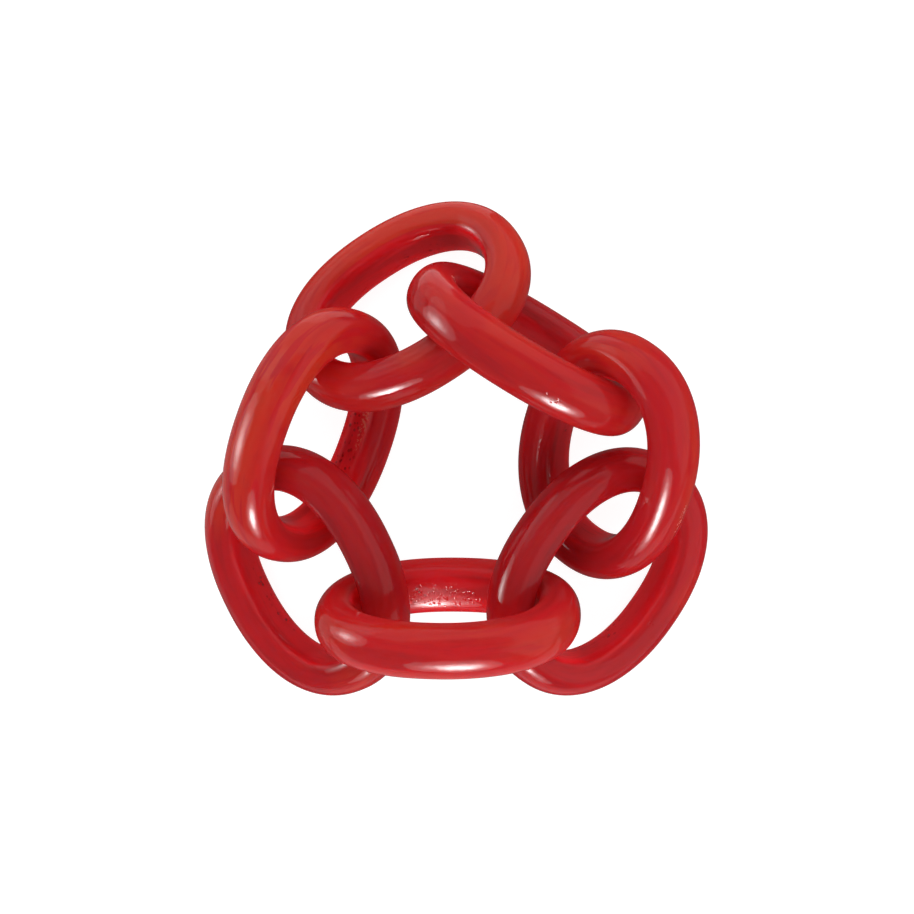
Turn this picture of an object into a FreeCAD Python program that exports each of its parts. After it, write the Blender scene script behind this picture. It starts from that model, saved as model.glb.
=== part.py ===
import FreeCAD, Part
import math
import os
import Sketcher

# Chain link bracelet: seven identical oval links, each passed through the next, in a closed ring.
# Frame: +Z up from the table that the bracelet lies on, origin under the middle of its outline.

# Driving dimensions of one link, in mm.
LINK_SIZES = {
    "link_length": 45.0,       # over the two rounded ends
    "link_width": 34.2,        # over the two long sides
    "end_radius": 12.0,        # of the bar's centre line round each end
    "bar_outward": 3.8,        # bar's reach from its centre line, away from the eye
    "bar_inward": 3.4,         # and towards the eye
    "bar_height": 9.3,         # bar's size square to the link's own plane
    "shoulder_radius": 3.3,    # round the outer edges of the bar
    "corner_radius": 2.6,      # round the inner edges of the bar
    "inner_crown": 16.7,       # radius of the nearly flat face towards the eye
}

# Where each link lies, in mm and degrees: place of its centre, heading of its long axis in plan,
# lean about the long axis, pitch of the long axis, and lift above the table where neighbours carry it.
PLACE_WORDS = ("place_x", "place_y", "lift", "heading", "lean", "pitch")
LINKS = {
    "link_bottom": (-1.5, -26.75, 0.8, -1, -67, 8),
    "link_lower_left": (-26.0, -19.25, 0.0, -65, 27, -8),
    "link_left": (-24.25, 3.75, 0.0, -110, -55, -6),
    "link_upper_left": (-8.75, 25.75, 0.0, 33, -33, -3),
    "link_upper_right": (12.0, 18.25, 0.7, -32, -75, 1),
    "link_right": (25.25, 0.25, 0.0, -109, 30, -32),
    "link_lower_right": (23.5, -19.25, 0.0, -125, -30, 4),
}

# Formulas in the sheet's words, used by the sketches.
CENTRE_A = "(Sizes.link_length / 2 - Sizes.bar_outward)"
CENTRE_B = "(Sizes.link_width / 2 - Sizes.bar_outward)"
END_OFFSET = CENTRE_A + " - Sizes.end_radius"
SIDE_RADIUS = (
    "((" + END_OFFSET + ")^2 + " + CENTRE_B + "^2 - Sizes.end_radius^2)"
    " / (2 * (" + CENTRE_B + " - Sizes.end_radius))"
)
SHOULDER_Y = "(Sizes.bar_height / 2 - Sizes.shoulder_radius)"
OUTER_CROWN = (
    "(Sizes.bar_outward^2 + " + SHOULDER_Y + "^2 - Sizes.shoulder_radius^2)"
    " / (2 * (Sizes.bar_outward - Sizes.shoulder_radius))"
)
INNER_CENTRE = CENTRE_A + " - Sizes.bar_inward + Sizes.inner_crown"

START, END, CENTRE = 1, 2, 3        # a sketch element's points
ORIGIN, X_AXIS, Y_AXIS = -1, -1, -2  # a sketch's own references
UP = FreeCAD.Vector(0, 0, 1)


def cell(sheet, row, alias, value):
    """One named number in the sheet."""
    sheet.set("A%d" % row, alias)
    sheet.set("B%d" % row, str(value))
    sheet.setAlias("B%d" % row, alias)


def make_sheet(doc):
    sheet = doc.addObject("Spreadsheet::Sheet", "Sizes")
    entries = list(LINK_SIZES.items())
    entries += [("outline_x", 0.0), ("outline_y", 0.0)]
    for name, numbers in LINKS.items():
        entries += [(name + "_" + word, value) for word, value in zip(PLACE_WORDS, numbers)]
        entries.append((name + "_rest", rest_height(numbers[4], numbers[5])))
    for row, (alias, value) in enumerate(entries, start=1):
        cell(sheet, row, alias, value)
    return sheet


def oval():
    """Half length, half width, end radius, side radius and joining angle of the centre line."""
    half_length = LINK_SIZES["link_length"] / 2 - LINK_SIZES["bar_outward"]
    half_width = LINK_SIZES["link_width"] / 2 - LINK_SIZES["bar_outward"]
    end = LINK_SIZES["end_radius"]
    side = ((half_length - end) ** 2 + half_width**2 - end**2) / (2 * (half_width - end))
    angle = math.atan2(side - half_width, half_length - end)
    return half_length, half_width, end, side, angle


def rest_height(lean, pitch):
    """Height of a link's centre above its lowest point, for its lean and pitch in degrees."""
    half_length, half_width, end, side, angle = oval()
    lean, pitch = math.radians(lean), math.radians(pitch)
    along, across = abs(math.sin(pitch)), abs(math.sin(lean) * math.cos(pitch))
    square = abs(math.cos(lean) * math.cos(pitch))
    if math.atan2(across, along) < angle:
        reach = (half_length - end) * along + end * math.hypot(along, across)
    else:
        reach = (half_width - side) * across + side * math.hypot(along, across)
    return reach + bar_reach(math.hypot(along, across), square)


def bar_reach(outward, square):
    """How far the bar's section reaches from its centre in a direction on its outer side."""
    half_height = LINK_SIZES["bar_height"] / 2
    shoulder = LINK_SIZES["shoulder_radius"]
    depth = LINK_SIZES["bar_outward"]
    crown = (depth**2 + (half_height - shoulder) ** 2 - shoulder**2) / (2 * (depth - shoulder))
    on_shoulder = (half_height - shoulder) * square + shoulder
    on_crown = (depth - crown) * outward + crown
    turn = math.atan2(half_height - shoulder, crown - depth)
    return on_crown if math.atan2(square, outward) < turn else on_shoulder


def origin_plane(body, role):
    return next(item for item in body.Origin.OriginFeatures if item.Role == role)


def new_sketch(body, name, role):
    sketch = body.newObject("Sketcher::SketchObject", name)
    sketch.AttachmentSupport = [(origin_plane(body, role), "")]
    sketch.MapMode = "FlatFace"
    return sketch


def arc(x, y, radius, start, end):
    return Part.ArcOfCircle(Part.Circle(FreeCAD.Vector(x, y, 0), UP, radius), start, end)


def dimension(sketch, name, formula, *details):
    """A sketch dimension bound to the sheet."""
    index = sketch.addConstraint(Sketcher.Constraint(*details))
    sketch.renameConstraint(index, name)
    sketch.setExpression("Constraints." + name, formula)


def sketch_centre_line(body):
    """Four tangent arcs: a small one round each end and a flat one along each side."""
    half_length, half_width, end, side, angle = oval()
    sketch = new_sketch(body, "CentreLine", "XY_Plane")
    sketch.addGeometry(arc(half_length - end, 0, end, -angle, angle))
    sketch.addGeometry(arc(0, half_width - side, side, angle, math.pi - angle))
    sketch.addGeometry(arc(end - half_length, 0, end, math.pi - angle, math.pi + angle))
    sketch.addGeometry(arc(0, side - half_width, side, math.pi + angle, 2 * math.pi - angle))
    for first in range(4):
        sketch.addConstraint(Sketcher.Constraint("Tangent", first, END, (first + 1) % 4, START))
    for element, axis in ((0, X_AXIS), (1, Y_AXIS), (3, Y_AXIS)):
        sketch.addConstraint(Sketcher.Constraint("PointOnObject", element, CENTRE, axis))
    sketch.addConstraint(Sketcher.Constraint("Equal", 0, 2))
    sketch.addConstraint(Sketcher.Constraint("Equal", 1, 3))
    dimension(sketch, "end_radius", "Sizes.end_radius", "Radius", 0, end)
    dimension(sketch, "side_radius", SIDE_RADIUS, "Radius", 1, side)
    dimension(
        sketch, "end_offset", END_OFFSET,
        "DistanceX", ORIGIN, START, 0, CENTRE, half_length - end,
    )
    return sketch


def sketch_bar_section(body):
    """Rounded D: full curve on the outside, nearly flat face towards the eye."""
    middle = oval()[0]
    half_height = LINK_SIZES["bar_height"] / 2
    shoulder = LINK_SIZES["shoulder_radius"]
    depth = LINK_SIZES["bar_outward"]
    crown = (depth**2 + (half_height - shoulder) ** 2 - shoulder**2) / (2 * (depth - shoulder))
    outer_turn = math.atan2(half_height - shoulder, crown - depth)
    corner = LINK_SIZES["corner_radius"]
    flat_crown = LINK_SIZES["inner_crown"]
    inner_x = middle - LINK_SIZES["bar_inward"] + flat_crown
    inner_turn = math.asin((half_height - corner) / (flat_crown - corner))
    corner_x = inner_x - (flat_crown - corner) * math.cos(inner_turn)
    quarter = math.pi / 2

    sketch = new_sketch(body, "BarSection", "XZ_Plane")
    sketch.addGeometry(arc(middle, half_height - shoulder, shoulder, outer_turn, quarter))
    top = FreeCAD.Vector(middle, half_height, 0)
    sketch.addGeometry(Part.LineSegment(top, FreeCAD.Vector(corner_x, half_height, 0)))
    sketch.addGeometry(arc(corner_x, half_height - corner, corner, quarter, math.pi - inner_turn))
    sketch.addGeometry(arc(inner_x, 0, flat_crown, math.pi - inner_turn, math.pi + inner_turn))
    sketch.addGeometry(arc(corner_x, corner - half_height, corner, math.pi + inner_turn, 3 * quarter))
    foot = FreeCAD.Vector(middle, -half_height, 0)
    sketch.addGeometry(Part.LineSegment(FreeCAD.Vector(corner_x, -half_height, 0), foot))
    sketch.addGeometry(arc(middle, shoulder - half_height, shoulder, -quarter, -outer_turn))
    sketch.addGeometry(arc(middle + depth - crown, 0, crown, -outer_turn, outer_turn))

    for first in range(8):
        sketch.addConstraint(Sketcher.Constraint("Tangent", first, END, (first + 1) % 8, START))
    sketch.addConstraint(Sketcher.Constraint("PointOnObject", 3, CENTRE, X_AXIS))
    sketch.addConstraint(Sketcher.Constraint("Horizontal", 1))
    sketch.addConstraint(Sketcher.Constraint("Horizontal", 5))
    sketch.addConstraint(Sketcher.Constraint("Equal", 0, 6))
    sketch.addConstraint(Sketcher.Constraint("Equal", 2, 4))
    dimension(sketch, "shoulder", "Sizes.shoulder_radius", "Radius", 0, shoulder)
    dimension(sketch, "corner", "Sizes.corner_radius", "Radius", 2, corner)
    dimension(sketch, "inner_crown", "Sizes.inner_crown", "Radius", 3, flat_crown)
    dimension(sketch, "outer_crown", OUTER_CROWN, "Radius", 7, crown)
    for name, element in (("upper_x", 0), ("lower_x", 6)):
        dimension(sketch, name, CENTRE_A, "DistanceX", ORIGIN, START, element, CENTRE, middle)
    dimension(
        sketch, "upper_y", "Sizes.bar_height / 2",
        "DistanceY", ORIGIN, START, 1, START, half_height,
    )
    dimension(
        sketch, "lower_y", "Sizes.bar_height / 2",
        "DistanceY", 5, END, ORIGIN, START, half_height,
    )
    dimension(sketch, "inner_x", INNER_CENTRE, "DistanceX", ORIGIN, START, 3, CENTRE, inner_x)
    return sketch


def make_link(doc, name):
    """One link: its D-shaped bar swept once round the closed centre line."""
    body = doc.addObject("PartDesign::Body", name)
    body.Label = name
    centre_line = sketch_centre_line(body)
    section = sketch_bar_section(body)
    bar = body.newObject("PartDesign::AdditivePipe", "Bar")
    bar.Profile = section
    bar.Spine = (centre_line, ["Edge1", "Edge2", "Edge3", "Edge4"])
    words = {word: "Sizes." + name + "_" + word for word in PLACE_WORDS + ("rest",)}
    place = "create(<<vector>>; {place_x} - Sizes.outline_x; {place_y} - Sizes.outline_y; {rest} + {lift})"
    turn = "create(<<rotation>>; {heading}; -{pitch}; {lean})"
    body.setExpression("Placement", ("create(<<placement>>; " + place + "; " + turn + ")").format(**words))
    return body


def check(doc, bodies):
    """Stops the script if anything in the document failed."""
    for item in doc.Objects:
        if "Invalid" in item.State or "Error" in item.State:
            raise RuntimeError("%s: %s" % (item.Name, item.State))
    for body in bodies:
        shape = body.Shape
        if shape.isNull() or not shape.isValid() or len(shape.Solids) != 1:
            raise RuntimeError("%s has no single valid solid" % body.Label)


def main():
    doc = FreeCAD.newDocument("chain_link_bracelet")
    sheet = make_sheet(doc)
    doc.recompute()
    bodies = [make_link(doc, name) for name in LINKS]
    doc.recompute()
    check(doc, bodies)

    # The origin goes under the middle of the ring's outline.
    boxes = [body.Shape.optimalBoundingBox(False) for body in bodies]
    low_x, high_x = min(box.XMin for box in boxes), max(box.XMax for box in boxes)
    low_y, high_y = min(box.YMin for box in boxes), max(box.YMax for box in boxes)
    sheet.set(sheet.getCellFromAlias("outline_x"), str((low_x + high_x) / 2))
    sheet.set(sheet.getCellFromAlias("outline_y"), str((low_y + high_y) / 2))
    doc.recompute()
    check(doc, bodies)

    os.makedirs("parts", exist_ok=True)
    for body in bodies:
        body.Shape.exportStep(os.path.join("parts", body.Label + ".step"))
        box = body.Shape.optimalBoundingBox(False)
        print("%s: %.0f mm3, lowest point %.2f mm" % (body.Label, body.Shape.Volume, box.ZMin))


main()
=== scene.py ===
import math

import bpy
import numpy as np
from mathutils import Matrix, Vector


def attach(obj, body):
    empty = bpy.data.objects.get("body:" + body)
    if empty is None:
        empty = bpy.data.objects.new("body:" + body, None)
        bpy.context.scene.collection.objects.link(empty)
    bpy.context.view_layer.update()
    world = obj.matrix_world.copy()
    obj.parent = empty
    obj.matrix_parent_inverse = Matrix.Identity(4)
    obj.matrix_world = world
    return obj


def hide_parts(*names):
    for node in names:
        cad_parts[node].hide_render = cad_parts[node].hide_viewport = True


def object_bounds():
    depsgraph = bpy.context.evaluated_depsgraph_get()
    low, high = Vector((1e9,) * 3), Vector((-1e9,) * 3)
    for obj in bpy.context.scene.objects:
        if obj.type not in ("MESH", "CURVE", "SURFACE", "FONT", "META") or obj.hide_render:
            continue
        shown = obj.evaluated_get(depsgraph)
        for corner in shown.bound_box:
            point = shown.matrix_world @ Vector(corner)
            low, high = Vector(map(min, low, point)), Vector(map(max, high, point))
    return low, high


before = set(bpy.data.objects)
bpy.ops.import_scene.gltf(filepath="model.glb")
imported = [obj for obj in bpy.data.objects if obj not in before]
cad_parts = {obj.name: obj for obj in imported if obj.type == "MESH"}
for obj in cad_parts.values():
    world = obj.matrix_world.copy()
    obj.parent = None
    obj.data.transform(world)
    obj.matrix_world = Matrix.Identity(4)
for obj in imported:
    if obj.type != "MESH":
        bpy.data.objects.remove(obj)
cad_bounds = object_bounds()

# A chain link bracelet of seven polished resin links. Each link is swept again here on a smoother line
# than the CAD solid's arcs, in the same place, with the small unevenness of hand finishing.

MM = 0.001
CENTRE_POWER = 2.2       # of the superellipse that the bar's centre line follows
OUTER_POWER = 2.13       # of the bar's outer half section
INNER_POWER = 3.2        # of its flatter half, towards the eye
BAR_OUTWARD = 3.8 * MM   # the bar's reach from its centre line, away from the eye
BAR_INWARD = 3.4 * MM    # and towards the eye
STEPS_ALONG = 320
STEPS_AROUND = 72
LINE_SAMPLES = 6000      # of the centre line, before even steps are taken along it
SECTION_SAMPLES = 4000   # and of the section
STREAK_LOOP = 0.5        # radius of the closed line that streaks follow, against the section's half height
PATCH_EDGE = 1.4         # a patch is whole up to 0.4 of its reach and gone at this much of it

# What polishing by hand took off, as slow waves: waves along the bar, waves around it, depth in mm.
POLISH_WAVES = (
    (2, 1, 0.030),
    (3, 2, 0.022),
    (5, 1, 0.014),
    (7, 3, 0.010),
    (11, 2, 0.006),
)

# The resin of each link, cast and dyed on its own: how far the orange patina shows all over it and how far
# crimson flames break the patina up; then painted light (+) or painted shade (-) on the whole link's red, for
# how light falls on it.
RESIN = {
    "link_bottom": (0.15, 0.5, 0.30),
    "link_lower_left": (0.05, 0.5, -0.10),
    "link_left": (0.15, 0.8, 0.10),
    "link_upper_left": (0.20, 0.3, 0.0),
    "link_upper_right": (0.20, 0.5, 0.0),
    "link_right": (0.08, 0.7, 0.0),
    "link_lower_right": (0.08, 0.5, -0.05),
}

# Where a link's surface changes along the bar: orange patina, painted shade (a deeper red where the bar lies
# in shade),
# or painted shade on the gloss (less gloss where another bar blocks the reflection): link, kind, strength,
# place along the bar (0 at one end of the link, to 1 round the loop), place around the bar (0 outside, 0.25
# upper side, 0.5 in the eye), and the patch's reach along and around.
PATINA_AND_SHADE_PATCHES = (
    ("link_bottom", "patina", 0.5, 0.60, 0.05, 0.08, 0.14),
    ("link_bottom", "patina", 0.7, 0.76, 0.20, 0.14, 0.10),
    ("link_bottom", "patina", 0.7, 0.93, 0.04, 0.08, 0.12),
    ("link_bottom", "painted_shade", 0.25, 0.06, 0.30, 0.10, 0.35),
    ("link_lower_left", "patina", 0.9, 0.57, 0.20, 0.06, 0.16),
    ("link_lower_left", "patina", 0.6, 0.02, 0.20, 0.05, 0.16),
    ("link_lower_left", "painted_shade", 0.5, 0.27, 0.25, 0.22, 0.45),
    ("link_lower_left", "painted_shade", 0.5, 0.98, 0.50, 0.06, 0.20),
    ("link_left", "patina", 1.0, 0.23, 0.02, 0.24, 0.16),
    ("link_left", "patina", 1.0, 0.15, 0.24, 0.13, 0.16),
    ("link_left", "painted_shade", 0.25, 0.76, 0.30, 0.26, 0.50),
    # painted shade on the gloss: the near bar blocks this reflection
    ("link_left", "painted_gloss_shade", 1.0, 0.76, 0.50, 0.20, 0.14),
    ("link_upper_left", "patina", 1.0, 0.18, 0.22, 0.27, 0.22),
    ("link_upper_left", "patina", 1.0, 0.94, 0.16, 0.12, 0.24),
    ("link_upper_left", "patina", 0.8, 0.71, 0.26, 0.05, 0.10),
    ("link_upper_left", "painted_shade", 0.3, 0.60, 0.20, 0.14, 0.40),
    ("link_upper_right", "patina", 0.4, 0.70, 0.20, 0.18, 0.14),
    ("link_upper_right", "painted_shade", 0.6, 0.25, 0.30, 0.16, 0.45),
    ("link_upper_right", "painted_shade", 0.8, 0.47, 0.38, 0.06, 0.40),
    ("link_upper_right", "painted_shade", 0.4, 0.94, 0.25, 0.05, 0.20),
    ("link_right", "patina", 0.7, 0.04, 0.10, 0.07, 0.20),
    ("link_right", "patina", 0.5, 0.80, 0.97, 0.14, 0.10),
    ("link_right", "painted_shade", 0.9, 0.43, 0.35, 0.20, 0.50),
    ("link_lower_right", "painted_shade", 0.4, 0.20, 0.25, 0.20, 0.45),
    ("link_lower_right", "patina", 0.5, 0.80, 0.16, 0.05, 0.10),
)
PATINA_AND_SHADE_KINDS = ("patina", "painted_shade", "painted_gloss_shade")

# Marks in and on the resin, in the same columns.
MARKS = (
    ("link_left", "inclusion", 1.0, 0.71, 0.52, 0.045, 0.08),
    ("link_left", "inclusion", 1.0, 0.79, 0.54, 0.040, 0.08),
    ("link_left", "scuff", 1.0, 0.80, 0.46, 0.060, 0.025),
    ("link_lower_left", "inclusion", 1.0, 0.74, 0.52, 0.040, 0.07),
    ("link_lower_left", "inclusion", 1.0, 0.82, 0.54, 0.030, 0.05),
    ("link_lower_right", "inclusion", 1.0, 0.68, 0.52, 0.030, 0.05),
    ("link_right", "inclusion", 1.0, 0.26, 0.50, 0.020, 0.05),
    ("link_upper_left", "inclusion", 0.8, 0.17, 0.53, 0.040, 0.04),
    ("link_right", "scuff", 1.0, 0.73, 0.97, 0.028, 0.02),
    ("link_upper_right", "scuff", 1.0, 0.54, 0.33, 0.015, 0.03),
    ("link_bottom", "inclusion", 0.8, 0.34, 0.50, 0.025, 0.05),
    ("link_bottom", "pits", 1.0, 0.34, 0.50, 0.035, 0.07),
    ("link_bottom", "pits", 1.0, 0.28, 0.53, 0.060, 0.06),
    ("link_upper_right", "pits", 1.0, 0.83, 0.96, 0.015, 0.02),
    ("link_upper_left", "pits", 1.0, 0.99, 0.07, 0.006, 0.015),
    ("link_upper_right", "pits", 1.0, 0.66, 0.84, 0.006, 0.015),
    ("link_lower_right", "pits", 1.0, 0.79, 0.39, 0.010, 0.02),
    ("link_lower_right", "pits", 1.0, 0.73, 0.31, 0.010, 0.02),
)
MARK_KINDS = ("inclusion", "scuff", "pits")


def solid_axes(node):
    """Centre and axes (long, short, normal) of a link, from its CAD mesh's surface moments."""
    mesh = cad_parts[node].data
    mesh.calc_loop_triangles()
    points = np.zeros(len(mesh.vertices) * 3)
    mesh.vertices.foreach_get("co", points)
    points = points.reshape(-1, 3)
    corners = np.zeros(len(mesh.loop_triangles) * 3, int)
    mesh.loop_triangles.foreach_get("vertices", corners)
    a, b, c = (points[corners[k::3]] for k in range(3))
    area = np.linalg.norm(np.cross(b - a, c - a), axis=1)
    centre = (area[:, None] * (a + b + c)).sum(0) / (3 * area.sum())
    moment = np.zeros((3, 3))
    for p in ((a + b) / 2, (b + c) / 2, (c + a) / 2):
        q = p - centre
        moment += (area[:, None] * q).T @ q
    axes = np.linalg.eigh(moment)[1].T[::-1]
    long_axis, normal = axes[0], axes[2]
    long_axis = long_axis * np.sign(long_axis[0])
    normal = normal * np.sign(normal[2])
    short_axis = np.cross(normal, long_axis)
    axes = np.array([long_axis, short_axis, normal])
    half_size = np.abs((points - centre) @ axes.T).max(0)
    return centre, axes, half_size


def closed_angles(count):
    """Angles once round, in even steps that miss the axes."""
    return (np.arange(count) + 0.5) / count * 2 * math.pi


def power_curve(x_reach, y_reach, power, angle):
    """Points of a superellipse at the given angles."""
    c, s = np.cos(angle), np.sin(angle)
    x = x_reach * np.sign(c) * np.abs(c) ** (2 / power)
    y = y_reach * np.sign(s) * np.abs(s) ** (2 / power)
    return np.stack([x, y], axis=1)


def even_steps(points, count):
    """A closed outline sampled again at even steps, with its unit outward normals."""
    closed = np.vstack([points, points[:1]])
    lengths = np.concatenate([[0], np.cumsum(np.linalg.norm(np.diff(closed, axis=0), axis=1))])
    wanted = np.arange(count) / count * lengths[-1]
    even = np.stack([np.interp(wanted, lengths, closed[:, k]) for k in range(2)], axis=1)
    tangent = np.roll(even, -1, axis=0) - np.roll(even, 1, axis=0)
    tangent /= np.linalg.norm(tangent, axis=1)[:, None]
    return even, np.stack([tangent[:, 1], -tangent[:, 0]], axis=1)


def section_outline(half_height):
    """The bar's section, a rounded D, with its unit outward normals."""
    angle = closed_angles(SECTION_SAMPLES)
    outer = power_curve(BAR_OUTWARD, half_height, OUTER_POWER, angle)
    inner = power_curve(BAR_INWARD, half_height, INNER_POWER, angle)
    return even_steps(np.where(np.cos(angle)[:, None] > 0, outer, inner), STEPS_AROUND)


def hand_finish(seed, along, around):
    """Depth in metres that polishing by hand took off at every point of the bar."""
    draw = np.random.RandomState(seed)
    depth = np.zeros((len(along), len(around)))
    for waves, turns, size in POLISH_WAVES:
        phase = draw.uniform(0, 2 * math.pi, 2)
        lengthwise = np.cos(2 * math.pi * waves * along + phase[0])
        crosswise = np.cos(2 * math.pi * turns * around + phase[1])
        depth += size * MM * (1 + lengthwise[:, None] * crosswise[None, :]) / 2
    return depth


def round_distance(values, centre):
    """Distance from centre on a closed line of length 1."""
    return np.abs((values - centre + 0.5) % 1 - 0.5)


def patches(table, kinds, node, along, around):
    """For every point, how strongly each kind of patch in the table shows there."""
    amount = np.zeros((len(along), len(around), len(kinds)))
    for link, kind, strength, lengthwise, crosswise, long_reach, round_reach in table:
        if link == node:
            x = round_distance(along, lengthwise)[:, None] / long_reach
            y = round_distance(around, crosswise)[None, :] / round_reach
            patch = strength * np.clip(PATCH_EDGE - np.hypot(x, y), 0, 1)
            layer = amount[:, :, kinds.index(kind)]
            np.maximum(layer, patch, out=layer)
    return amount.reshape(-1, len(kinds))


def store(mesh, name, values):
    """Keeps three numbers per point on the mesh, for the material."""
    layer = mesh.attributes.new(name, "FLOAT_VECTOR", "POINT")
    layer.data.foreach_set("vector", np.ascontiguousarray(values, dtype=np.float32).ravel())


def sweep_link(node, seed):
    """The link's mesh, with the values its material reads on every point."""
    centre, axes, half_size = solid_axes(node)
    x_reach, y_reach = half_size[0] - BAR_OUTWARD, half_size[1] - BAR_OUTWARD
    centre_line = power_curve(x_reach, y_reach, CENTRE_POWER, closed_angles(LINE_SAMPLES))
    line, outward = even_steps(centre_line, STEPS_ALONG)
    section, facing = section_outline(half_size[2])
    along = np.arange(STEPS_ALONG) / STEPS_ALONG
    around = np.arange(STEPS_AROUND) / STEPS_AROUND
    depth = hand_finish(seed, along, around)

    out = section[None, :, 0] - depth * facing[None, :, 0]
    up = section[None, :, 1] - depth * facing[None, :, 1]
    flat = line[:, None, :] + out[:, :, None] * outward[:, None, :]
    local = np.concatenate([flat, up[:, :, None]], axis=2).reshape(-1, 3)
    points = local @ axes + centre

    ring = np.arange(STEPS_ALONG)[:, None]
    step = np.arange(STEPS_AROUND)[None, :]
    next_ring, next_step = (ring + 1) % STEPS_ALONG, (step + 1) % STEPS_AROUND
    quads = np.stack(
        [
            ring * STEPS_AROUND + step,
            next_ring * STEPS_AROUND + step,
            next_ring * STEPS_AROUND + next_step,
            ring * STEPS_AROUND + next_step,
        ],
        axis=2,
    ).reshape(-1, 4)
    mesh = bpy.data.meshes.new(node + "_resin")
    mesh.from_pydata(points.tolist(), [], quads.tolist())
    mesh.update()
    mesh.shade_smooth()

    turn = 2 * math.pi * along
    loop = np.stack([np.cos(turn), np.sin(turn)], axis=1)
    base_patina, flames, painted_light_shade = RESIN[node]
    patina_and_shade = patches(PATINA_AND_SHADE_PATCHES, PATINA_AND_SHADE_KINDS, node, along, around)
    every = np.ones(len(local))
    store(mesh, "across", np.column_stack([np.tile(section / half_size[2], (STEPS_ALONG, 1)), every * seed]))
    store(mesh, "lengthwise", np.column_stack([np.repeat(loop, STEPS_AROUND, axis=0), every * flames]))
    store(mesh, "facing", np.column_stack([np.tile(facing, (STEPS_ALONG, 1)), every * painted_light_shade]))
    patina_and_shade[:, 0] = np.maximum(patina_and_shade[:, 0], base_patina)
    store(mesh, "patina_and_shade_amount", patina_and_shade)
    store(mesh, "place", local / MM)
    store(mesh, "marks", patches(MARKS, MARK_KINDS, node, along, around))
    return mesh


class Nodes:
    """Short calls for building a material's node tree."""

    def __init__(self, tree):
        self.tree = tree

    def add(self, kind, inputs=None, **settings):
        node = self.tree.nodes.new(kind)
        for name, value in settings.items():
            setattr(node, name, value)
        for name, value in (inputs or {}).items():
            self.put(node.inputs[name], value)
        return node

    def put(self, socket, value):
        if isinstance(value, bpy.types.NodeSocket):
            self.tree.links.new(value, socket)
        else:
            socket.default_value = value

    def math(self, operation, *values, clamp=False):
        node = self.add("ShaderNodeMath", operation=operation, use_clamp=clamp)
        for socket, value in zip(node.inputs, values):
            self.put(socket, value)
        return node.outputs[0]

    def dot(self, first, second):
        node = self.add("ShaderNodeVectorMath", operation="DOT_PRODUCT")
        self.put(node.inputs[0], first)
        self.put(node.inputs[1], second)
        return node.outputs["Value"]

    def mix_colour(self, factor, first, second, blend="MIX"):
        node = self.add("ShaderNodeMix", data_type="RGBA", blend_type=blend)
        for socket, value in zip((node.inputs[0], node.inputs[6], node.inputs[7]), (factor, first, second)):
            self.put(socket, value)
        return node.outputs[2]

    def ramp(self, value, low, high, from_value=0.0, to_value=1.0):
        node = self.add("ShaderNodeMapRange", interpolation_type="SMOOTHSTEP")
        for socket, number in zip(node.inputs, (value, low, high, from_value, to_value)):
            self.put(socket, number)
        return node.outputs[0]

    def attribute(self, name):
        return self.add("ShaderNodeAttribute", attribute_name=name).outputs["Vector"]

    def split(self, vector):
        return self.add("ShaderNodeSeparateXYZ", {"Vector": vector}).outputs

    def join(self, x, y, z):
        return self.add("ShaderNodeCombineXYZ", {"X": x, "Y": y, "Z": z}).outputs[0]

    def noise(self, vector, w, scale, detail=3.0, rough=0.5, distortion=0.0):
        node = self.add("ShaderNodeTexNoise", noise_dimensions="4D")
        for name, value in (("Vector", vector), ("W", w), ("Scale", scale), ("Detail", detail)):
            self.put(node.inputs[name], value)
        node.inputs["Roughness"].default_value = rough
        node.inputs["Distortion"].default_value = distortion
        return node.outputs[0]


CRIMSON = (0.53, 0.012, 0.020, 1)
PAINTED_LIGHT_RED = (0.74, 0.020, 0.030, 1)
PAINTED_GLOW_RED = (0.97, 0.030, 0.045, 1)
ORANGE_RED = (0.60, 0.040, 0.020, 1)
DARK_STREAK_AND_SHADE_RED = (0.30, 0.014, 0.019, 1)
INCLUSION_BROWN = (0.20, 0.005, 0.007, 1)
SCUFF_PINK = (0.62, 0.16, 0.12, 1)


GLOSS = 0.45                  # specular level where the resin isn't dull
SCATTER_REACH = 6.5 * MM      # of red light inside the resin
SCATTER_SHARES = (1.0, 0.10, 0.07)
BUMP_DEPTH = 0.2 * MM
BUMP_STRENGTH = 0.4
SEED_STEP = 7.3               # keeps the links' streaks apart


def dots(make, place, seed, scale, edge, core):
    """Small round spots scattered through the resin, 0 between them and 1 in them."""
    cells = make.add("ShaderNodeTexVoronoi", {"Vector": place}, voronoi_dimensions="4D")
    make.put(cells.inputs["W"], seed)
    cells.inputs["Scale"].default_value = scale
    return make.ramp(cells.outputs["Distance"], edge, core)


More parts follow.
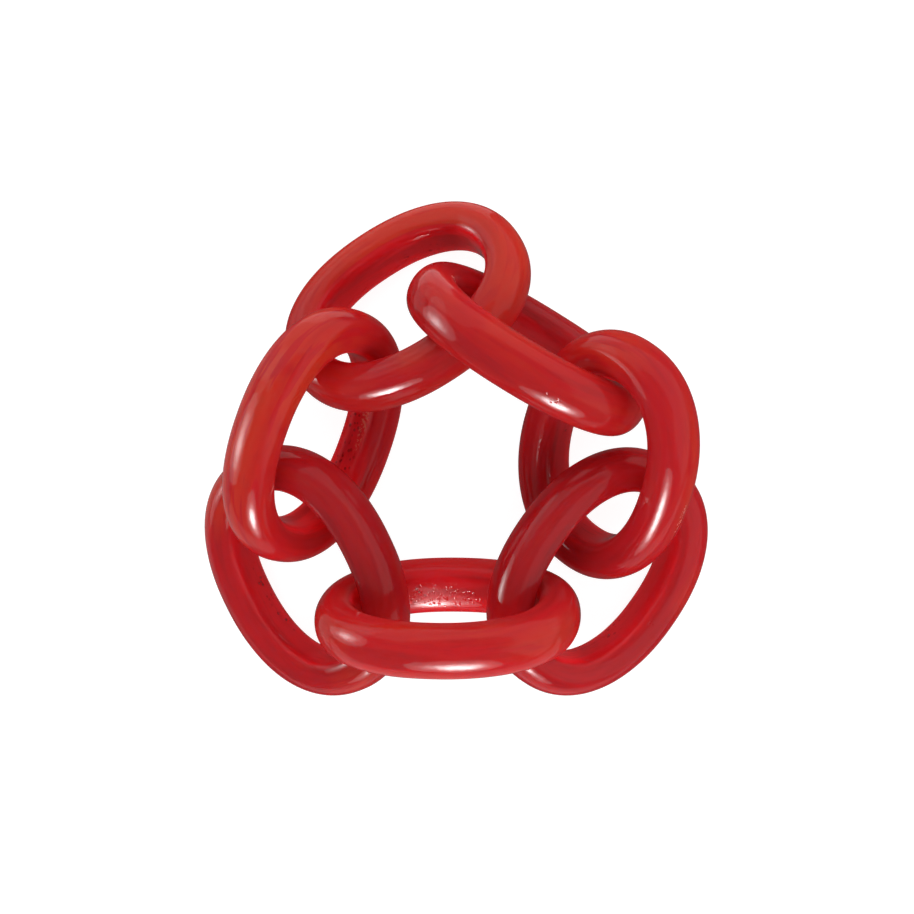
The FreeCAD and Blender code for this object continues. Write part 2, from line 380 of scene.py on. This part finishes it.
def resin_material():
    """Polished translucent cast resin: streaks drawn along the bar, patina on its flat sides, marks, and
    painted light and shade.
    """
    material = bpy.data.materials.new("red_resin")
    material.use_nodes = True
    tree = material.node_tree
    shader = tree.nodes["Principled BSDF"]
    make = Nodes(tree)

    section_x, section_z, seed = make.split(make.attribute("across"))
    loop_x, loop_y, flames = make.split(make.attribute("lengthwise"))
    face_x, face_z, painted_light_shade = make.split(make.attribute("facing"))
    patina_strength, painted_shade, painted_gloss_shade = make.split(make.attribute("patina_and_shade_amount"))
    place = make.attribute("place")
    inclusion, scuff, pits = make.split(make.attribute("marks"))

    # Streaks: quick change across the bar, slow change along it, closed round the loop.
    across = make.join(section_x, section_z, make.math("MULTIPLY", loop_x, STREAK_LOOP))
    lengthwise = make.math("MULTIPLY_ADD", loop_y, STREAK_LOOP, make.math("MULTIPLY", seed, SEED_STEP))
    broad = make.noise(across, lengthwise, 1.3, 2.0, 0.5, 0.3)
    flame = make.noise(across, lengthwise, 2.7, 2.0, 0.5, 0.6)
    fine = make.noise(across, lengthwise, 7.0, 3.0, 0.55, 0.4)
    cloud = make.noise(place, seed, 0.10, 2.0, 0.5)

    # The patina lies on the sides and stops at the ridge where the flat inner face begins.
    inward = make.math("MULTIPLY", face_x, -1.0)
    outside = make.ramp(inward, 0.70, 0.52)
    patina = make.math("MULTIPLY", outside, patina_strength)
    patina = make.math("MULTIPLY", patina, make.ramp(cloud, 0.25, 0.45))
    broken = make.math("MULTIPLY", make.ramp(flame, 0.53, 0.60), flames)
    patina = make.math("MULTIPLY", patina, make.math("SUBTRACT", 1.0, broken))
    light_streak = make.math("MULTIPLY", make.ramp(broad, 0.52, 0.64), 0.22)
    orange = make.math("ADD", patina, make.math("MULTIPLY", light_streak, outside), clamp=True)
    # The resin's own dark streaks, with painted shade added on top: the shade patches and the links painted
    # deeper.
    dark_streak_and_shade = make.math("MULTIPLY", make.ramp(broad, 0.46, 0.36), 0.30)
    dark_streak_and_shade = make.math("MULTIPLY_ADD", make.ramp(fine, 0.48, 0.36), 0.14, dark_streak_and_shade)
    dark_streak_and_shade = make.math("MULTIPLY", dark_streak_and_shade, make.math("SUBTRACT", 1.0, orange))
    dark_streak_and_shade = make.math("MULTIPLY_ADD", painted_shade, 0.75, dark_streak_and_shade, clamp=True)

    # Painted light: the inner faces and the lighter links get a paler red, for light through the resin and
    # bounced into the eye.
    inner_face_light = make.math("MULTIPLY", make.ramp(inward, 0.4, 0.85), 0.6)
    painted_light = make.math("MAXIMUM", inner_face_light, make.math("MAXIMUM", painted_light_shade, 0.0))
    # Painted shade: links with a negative painted light amount get a deeper red.
    dark_streak_and_shade = make.math("ADD", dark_streak_and_shade, make.math("MAXIMUM", make.math("MULTIPLY", painted_light_shade, -1.0), 0.0), clamp=True)
    colour = make.mix_colour(painted_light, CRIMSON, PAINTED_LIGHT_RED)
    # Painted light: inner faces at the link's ends glow a brighter red, for light bounced into the eye.
    at_ends = make.ramp(make.math("ABSOLUTE", loop_x), 0.80, 0.98)
    painted_end_glow = make.math("MULTIPLY", make.math("MULTIPLY", make.ramp(inward, 0.5, 0.9), at_ends), 0.9)
    colour = make.mix_colour(painted_end_glow, colour, PAINTED_GLOW_RED)
    colour = make.mix_colour(orange, colour, ORANGE_RED)
    colour = make.mix_colour(dark_streak_and_shade, colour, DARK_STREAK_AND_SHADE_RED)
    speck = make.math("MULTIPLY", dots(make, place, seed, 1.1, 0.42, 0.26), inclusion)
    colour = make.mix_colour(make.math("MULTIPLY", speck, 0.95), colour, INCLUSION_BROWN)
    scratch_noise = make.noise(place, seed, 2.2, 5.0, 0.7)
    worn = make.math("MULTIPLY", make.ramp(scratch_noise, 0.50, 0.56), make.ramp(scuff, 0.1, 0.6))
    colour = make.mix_colour(make.math("MULTIPLY", worn, 0.75), colour, SCUFF_PINK)
    make.put(shader.inputs["Base Color"], colour)

    haze = make.noise(place, seed, 0.45, 4.0, 0.6)
    roughness = make.ramp(haze, 0.35, 0.75, 0.03, 0.075)
    roughness = make.math("MULTIPLY_ADD", speck, 0.30, roughness)
    roughness = make.math("MULTIPLY_ADD", pits, 0.12, roughness)
    roughness = make.math("MULTIPLY_ADD", worn, 0.35, roughness, clamp=True)
    make.put(shader.inputs["Roughness"], roughness)

    ripple = make.noise(place, seed, 0.30, 2.0, 0.45)
    grain = make.noise(place, seed, 5.0, 3.0, 0.6)
    pit = make.math("MULTIPLY", dots(make, place, seed, 1.5, 0.46, 0.20), pits)
    height = make.math("MULTIPLY_ADD", grain, 0.010, ripple)
    height = make.math("MULTIPLY_ADD", pit, -2.0, height)
    height = make.math("MULTIPLY_ADD", speck, -0.5, height)
    height = make.math("MULTIPLY_ADD", worn, -0.3, height)
    bump = make.add("ShaderNodeBump", {"Height": height})
    bump.inputs["Strength"].default_value = BUMP_STRENGTH
    bump.inputs["Distance"].default_value = BUMP_DEPTH
    make.put(shader.inputs["Normal"], bump.outputs[0])

    shader.inputs["IOR"].default_value = 1.5
    # Painted shade on the gloss: where another bar blocks the reflection, the specular level is lowered.
    make.put(shader.inputs["Specular IOR Level"], make.math("MULTIPLY_ADD", painted_gloss_shade, -GLOSS, GLOSS))
    shader.inputs["Subsurface Weight"].default_value = 1.0
    shader.inputs["Subsurface Radius"].default_value = SCATTER_SHARES
    shader.inputs["Subsurface Scale"].default_value = SCATTER_REACH
    return material


def make_links(material):
    for seed, node in enumerate(sorted(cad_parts)):
        piece = bpy.data.objects.new(node + "_resin", sweep_link(node, seed))
        bpy.context.scene.collection.objects.link(piece)
        piece.data.materials.append(material)
        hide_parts(node)
        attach(piece, node)


PAPER_WHITE = (0.30, 0.30, 0.30, 1)
FLOOR_GLOW = 0.92        # of the light table under the paper
BACKDROP_GLOW = 0.9
STAGE_REACH = 1.6        # from the middle to the backdrop, in metres
BACKDROP_SIDES = 48

LENS = 118.94            # mm, on a sensor 36 mm wide
LENS_TARGET = Vector((1.4, -1.67, 21.4)) * MM
LENS_LEAN = (0.0795, -0.0118)
LENS_DISTANCE = 501.7 * MM

LAMP_TARGET = Vector((0, 0, 15 * MM))
SOFTBOX_DISTANCE = 0.8
SOFTBOX_FALLOFF = 2.4    # power of the fall from a softbox's core to its rim
FILL_DISTANCE = 1.0
SKY_PANEL, SKY_DARK, SKY_BELOW = 0.46, 0.16, 0.08


def stage_piece(name, corners, faces, material):
    """A part of the studio that the polished faces don't mirror."""
    mesh = bpy.data.meshes.new(name)
    mesh.from_pydata(corners, [], faces)
    mesh.materials.append(material)
    item = bpy.data.objects.new(name, mesh)
    bpy.context.scene.collection.objects.link(item)
    item.visible_glossy = False
    return item


def paper(name, glow):
    """White paper, lit from below as much as glow says."""
    material = bpy.data.materials.new(name)
    material.use_nodes = True
    shader = material.node_tree.nodes["Principled BSDF"]
    shader.inputs["Base Color"].default_value = PAPER_WHITE
    shader.inputs["Roughness"].default_value = 0.8
    shader.inputs["Emission Color"].default_value = (1, 1, 1, 1)
    shader.inputs["Emission Strength"].default_value = glow
    return material


def make_floor():
    reach, low = STAGE_REACH * 1.05, cad_bounds[0][2]
    corners = [(-reach, -reach, low), (reach, -reach, low), (reach, reach, low), (-reach, reach, low)]
    stage_piece("floor", corners, [(0, 1, 2, 3)], paper("floor_paper", FLOOR_GLOW))


def make_backdrop():
    """A pale wall all round, which only the camera sees."""
    sides, height = BACKDROP_SIDES, 2 * STAGE_REACH
    turns = [2 * math.pi * k / sides for k in range(sides)]
    ring = [(STAGE_REACH * math.cos(t), STAGE_REACH * math.sin(t)) for t in turns]
    corners = [(x, y, cad_bounds[0][2]) for x, y in ring] + [(x, y, height) for x, y in ring]
    faces = [(k, (k + 1) % sides, (k + 1) % sides + sides, k + sides) for k in range(sides)]
    wall = stage_piece("backdrop", corners, faces, paper("backdrop_paper", BACKDROP_GLOW))
    wall.visible_diffuse = False
    wall.visible_shadow = False


def aim(item, place, target, top):
    """Places an item so that it looks from place to target, with top towards the top of its picture."""
    back = (Vector(place) - Vector(target)).normalized()
    right = Vector(top).cross(back).normalized()
    up = back.cross(right)
    turn = Matrix((right, up, back)).transposed().to_4x4()
    item.matrix_world = Matrix.Translation(place) @ turn


def make_camera():
    """Almost straight down, leaning a little to the right."""
    lens = bpy.data.cameras.new("camera")
    lens.sensor_width = 36
    lens.lens = LENS
    lens.clip_start = 0.01
    camera = bpy.data.objects.new("camera", lens)
    bpy.context.scene.collection.objects.link(camera)
    place = LENS_TARGET + LENS_DISTANCE * Vector((*LENS_LEAN, 1)).normalized()
    aim(camera, place, LENS_TARGET, (0, 1, 0))
    bpy.context.scene.camera = camera


def hang(lamp, azimuth, elevation, distance):
    """Puts a lamp up in a direction seen from the object, facing it."""
    item = bpy.data.objects.new(lamp.name, lamp)
    item.visible_camera = False
    bpy.context.scene.collection.objects.link(item)
    a, e = math.radians(azimuth), math.radians(elevation)
    direction = Vector((math.cos(e) * math.cos(a), math.cos(e) * math.sin(a), math.sin(e)))
    aim(item, LAMP_TARGET + distance * direction, LAMP_TARGET, (0, 0, 1))
    return item


def make_softbox(name, azimuth, elevation, spread, edge, core):
    """A round diffuser, seen from the object under the two angles of spread, that shows only in the gloss.

    Its brightness rises from edge at the rim to core in the middle.
    """
    lamp = bpy.data.lights.new(name, "AREA")
    lamp.shape = "ELLIPSE"
    lamp.size, lamp.size_y = (2 * SOFTBOX_DISTANCE * math.tan(math.radians(angle / 2)) for angle in spread)
    lamp.energy = math.pi * lamp.size * lamp.size_y * math.pi / 4
    lamp.use_nodes = True
    make = Nodes(lamp.node_tree)
    place_x, place_y, _ = make.split(make.add("ShaderNodeNewGeometry").outputs["Parametric"])
    from_middle = make.join(make.math("SUBTRACT", place_x, 0.5), make.math("SUBTRACT", place_y, 0.5), 0)
    reach = make.math("MULTIPLY", make.math("SQRT", make.dot(from_middle, from_middle)), 2)
    glow = make.math("POWER", make.ramp(reach, 1.0, 0.0), SOFTBOX_FALLOFF)
    strength = make.math("MULTIPLY_ADD", glow, core - edge, edge)
    make.put(lamp.node_tree.nodes["Emission"].inputs["Strength"], strength)
    item = hang(lamp, azimuth, elevation, SOFTBOX_DISTANCE)
    item.visible_diffuse = False


def make_fill(name, azimuth, elevation, width, brightness):
    """A wide even light on the resin and the table that the polished faces don't mirror."""
    lamp = bpy.data.lights.new(name, "AREA")
    lamp.shape = "DISK"
    lamp.size = width
    lamp.energy = brightness * math.pi * (math.pi * width ** 2 / 4)
    item = hang(lamp, azimuth, elevation, FILL_DISTANCE)
    item.visible_glossy = False


def make_lit_table(name, x_range, y_range, brightness):
    """The part of the table that the softboxes light most, as the polished faces mirror it."""
    lamp = bpy.data.lights.new(name, "AREA")
    lamp.shape = "RECTANGLE"
    lamp.size, lamp.size_y = x_range[1] - x_range[0], y_range[1] - y_range[0]
    lamp.energy = brightness * math.pi * lamp.size * lamp.size_y
    item = bpy.data.objects.new(name, lamp)
    bpy.context.scene.collection.objects.link(item)
    place = Vector((sum(x_range) / 2, sum(y_range) / 2, cad_bounds[0][2] - MM))
    aim(item, place, place + Vector((0, 0, 1)), (0, 1, 0))
    item.visible_diffuse = False
    item.visible_camera = False


def make_sky():
    """Studio walls: a pale panel on the far right side, dark elsewhere and darkest below."""
    world = bpy.data.worlds.new("studio")
    world.use_nodes = True
    make = Nodes(world.node_tree)
    direction = make.add("ShaderNodeTexCoord").outputs["Generated"]
    height = make.split(direction)[2]
    towards_panel = make.dot(direction, (0.6, 0.8, 0))
    band = make.math("MULTIPLY", make.ramp(height, 0.84, 0.78), make.ramp(height, -0.20, -0.02))
    panel = make.math("MULTIPLY", band, make.ramp(towards_panel, -0.14, -0.06))
    below = make.ramp(height, 0.0, -0.2)
    strength = make.math("MULTIPLY_ADD", panel, SKY_PANEL - SKY_DARK, SKY_DARK)
    strength = make.math("MULTIPLY_ADD", below, SKY_BELOW - SKY_DARK, strength)
    make.put(world.node_tree.nodes["Background"].inputs["Strength"], strength)
    world.node_tree.nodes["Background"].inputs["Color"].default_value = (1, 1, 1, 1)
    bpy.context.scene.world = world


def make_lights():
    make_softbox("key", -92, 22, (48, 44), 1.25, 34.0)
    make_lit_table("lit_front", (-0.15, 0.13), (-0.45, -0.055), 0.4)
    make_lit_table("lit_left", (-0.45, -0.048), (-0.05, 0.35), 0.3)
    make_lit_table("lit_back", (-0.048, 0.01), (0.05, 0.35), 0.6)
    make_softbox("left", 179, 13, (44, 44), 0.9, 9.0)
    make_softbox("left_wide", 158, 19, (70, 28), 0.35, 0.4)
    make_fill("fill_front", -92, 38, 1.0, 2.4)
    make_fill("fill_back", 80, 50, 1.6, 1.05)
    make_sky()
    bpy.context.scene.view_settings.view_transform = "Standard"


make_links(resin_material())
make_floor()
make_backdrop()
make_camera()
make_lights()
